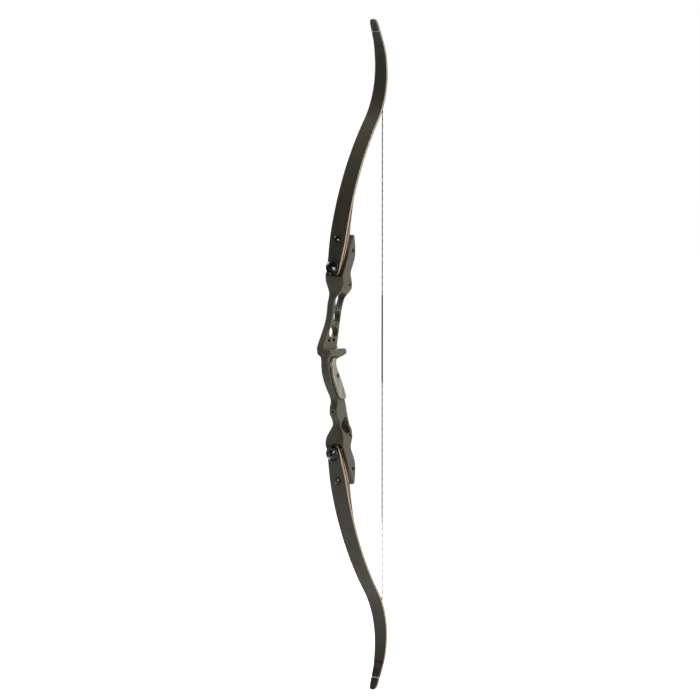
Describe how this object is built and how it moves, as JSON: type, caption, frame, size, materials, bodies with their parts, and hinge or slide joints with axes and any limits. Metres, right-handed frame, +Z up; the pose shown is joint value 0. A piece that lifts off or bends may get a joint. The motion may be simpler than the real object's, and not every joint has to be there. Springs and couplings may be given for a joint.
{
  "type": "recurve bow",
  "caption": "Strung takedown recurve bow: a cast riser with a sight window and grip, laminated limbs held by bolts and dovetails, and a served string.",
  "frame": {"origin": "deepest point of the grip's throat, on the bow's centre plane", "axes": "+Z up along the strung bow, +X from the target towards the archer and the string, -Y the side that the arrow passes"},
  "size_m": [0.2309, 0.048, 1.5124],
  "materials": {
    "riser_coat": "satin dark bronze coat on cast aluminium",
    "grip": "satin moulded grip",
    "black_steel": "black oxide",
    "bushing_steel": "turned",
    "brass": "turned",
    "bolt_steel": "polished dark nickel",
    "wedge_wood": "oiled hardwood",
    "limb_glass": "satin dark fibreglass",
    "core_wood": "sealed maple",
    "loop_serving": "served cord",
    "string_cord": "twisted two-colour polyester",
    "serving": "close-wound serving"
  },
  "bodies": {
    "riser": {"riser": "riser_coat", "grip": "grip", "grip_screws": "black_steel", "stabiliser_bushing": "bushing_steel", "upper_bolt_insert": "brass", "upper_lock_screw": "black_steel", "upper_dovetail_block": "bushing_steel", "upper_block_screw": "black_steel", "upper_alignment_screws": "black_steel", "lower_bolt_insert": "brass", "lower_lock_screw": "black_steel", "lower_dovetail_block": "bushing_steel", "lower_block_screw": "black_steel", "lower_alignment_screws": "black_steel"},
    "upper_washer": {"upper_cone_washer": "black_steel"},
    "upper_bolt": {"upper_limb_bolt": "bolt_steel"},
    "upper_limb": {"upper_butt_wedge": "wedge_wood", "upper_back_glass_inner": "limb_glass", "upper_core_inner": "core_wood", "upper_belly_glass_inner": "limb_glass", "upper_limb_dovetail": "bushing_steel", "upper_limb_button": "bolt_steel", "upper_detent_spring": "bushing_steel"},
    "upper_detent": {"upper_detent_pin": "bushing_steel"},
    "upper_limb_tip": {"upper_back_glass_outer": "limb_glass", "upper_core_outer": "core_wood", "upper_belly_glass_outer": "limb_glass", "upper_tip_overlay": "limb_glass"},
    "upper_loop": {"upper_string_loop": "loop_serving"},
    "upper_string": {"upper_bowstring": "string_cord", "upper_centre_serving": "serving"},
    "lower_washer": {"lower_cone_washer": "black_steel"},
    "lower_bolt": {"lower_limb_bolt": "bolt_steel"},
    "lower_limb": {"lower_butt_wedge": "wedge_wood", "lower_back_glass_inner": "limb_glass", "lower_core_inner": "core_wood", "lower_belly_glass_inner": "limb_glass", "lower_limb_dovetail": "bushing_steel", "lower_limb_button": "bolt_steel", "lower_detent_spring": "bushing_steel"},
    "lower_detent": {"lower_detent_pin": "bushing_steel"},
    "lower_limb_tip": {"lower_back_glass_outer": "limb_glass", "lower_core_outer": "core_wood", "lower_belly_glass_outer": "limb_glass", "lower_tip_overlay": "limb_glass"},
    "lower_loop": {"lower_string_loop": "loop_serving"},
    "lower_string": {"lower_bowstring": "string_cord", "lower_centre_serving": "serving"}
  },
  "joints": [
    {"name": "upper_bolt_travel", "type": "slide", "parent": "riser", "child": "upper_washer", "axis": [-0.9681, 0, 0.2504], "range_m": [0, 0.00317]},
    {"name": "upper_bolt_turn", "type": "hinge", "parent": "upper_washer", "child": "upper_bolt", "pos_m": [0.01799, 0, 0.20252], "axis": [-0.9681, 0, 0.2504], "range_deg": [0, 1080]},
    {"name": "upper_limb_pivot", "type": "hinge", "parent": "riser", "child": "upper_limb", "pos_m": [0.03601, 0, 0.27223], "axis": [0, 1, 0], "range_deg": [0, 2.6]},
    {"name": "upper_limb_flex", "type": "hinge", "parent": "upper_limb", "child": "upper_limb_tip", "pos_m": [0.06878, 0, 0.392], "axis": [0, 1, 0], "range_deg": [0, 28.5], "stiffness_Nm_per_rad": 270},
    {"name": "upper_loop_swing", "type": "hinge", "parent": "upper_limb_tip", "child": "upper_loop", "pos_m": [0.16838, 0, 0.72996], "axis": [0, 1, 0], "range_deg": [-2.6, 0]},
    {"name": "upper_string_swing", "type": "hinge", "parent": "upper_loop", "child": "upper_string", "pos_m": [0.16838, 0, 0.72996], "axis": [0, 1, 0], "range_deg": [-55.2, 0], "deforming": ["upper_bowstring", "upper_centre_serving"]},
    {"name": "upper_detent_press", "type": "slide", "parent": "upper_limb", "child": "upper_detent", "axis": [-0.9681, 0, 0.2504], "range_m": [0, 0.0016], "stiffness_N_per_m": 800, "deforming": ["upper_detent_spring"]},
    {"name": "lower_bolt_travel", "type": "slide", "parent": "riser", "child": "lower_washer", "axis": [-0.9681, 0, -0.2504], "range_m": [0, 0.00317]},
    {"name": "lower_bolt_turn", "type": "hinge", "parent": "lower_washer", "child": "lower_bolt", "pos_m": [0.01799, 0, -0.20252], "axis": [-0.9681, 0, -0.2504], "range_deg": [0, 1080]},
    {"name": "lower_limb_pivot", "type": "hinge", "parent": "riser", "child": "lower_limb", "pos_m": [0.03601, 0, -0.27223], "axis": [0, 1, 0], "range_deg": [-2.6, 0]},
    {"name": "lower_limb_flex", "type": "hinge", "parent": "lower_limb", "child": "lower_limb_tip", "pos_m": [0.06878, 0, -0.392], "axis": [0, 1, 0], "range_deg": [-28.5, 0], "stiffness_Nm_per_rad": 270},
    {"name": "lower_loop_swing", "type": "hinge", "parent": "lower_limb_tip", "child": "lower_loop", "pos_m": [0.16838, 0, -0.72996], "axis": [0, 1, 0], "range_deg": [0, 2.6]},
    {"name": "lower_string_swing", "type": "hinge", "parent": "lower_loop", "child": "lower_string", "pos_m": [0.16838, 0, -0.72996], "axis": [0, 1, 0], "range_deg": [0, 55.2], "deforming": ["lower_bowstring", "lower_centre_serving"]},
    {"name": "lower_detent_press", "type": "slide", "parent": "lower_limb", "child": "lower_detent", "axis": [-0.9681, 0, -0.2504], "range_m": [0, 0.0016], "stiffness_N_per_m": 800, "deforming": ["lower_detent_spring"]}
  ],
  "couplings": [
    {"joint": "upper_bolt_turn", "follows": "upper_bolt_travel", "rad_per_m": 5938.7},
    {"joint": "upper_limb_pivot", "follows": "upper_bolt_travel", "rad_per_m": 13.889},
    {"joint": "upper_loop_swing", "follows": "upper_bolt_travel", "rad_per_m": -13.889},
    {"joint": "upper_string_swing", "follows": "upper_limb_flex", "ratio": -1.9318},
    {"joint": "lower_bolt_turn", "follows": "lower_bolt_travel", "rad_per_m": 5938.7},
    {"joint": "lower_limb_pivot", "follows": "lower_bolt_travel", "rad_per_m": -13.889},
    {"joint": "lower_loop_swing", "follows": "lower_bolt_travel", "rad_per_m": 13.889},
    {"joint": "lower_string_swing", "follows": "upper_limb_flex", "ratio": 1.9318},
    {"joint": "lower_limb_flex", "follows": "upper_limb_flex", "ratio": -1}
  ]
}
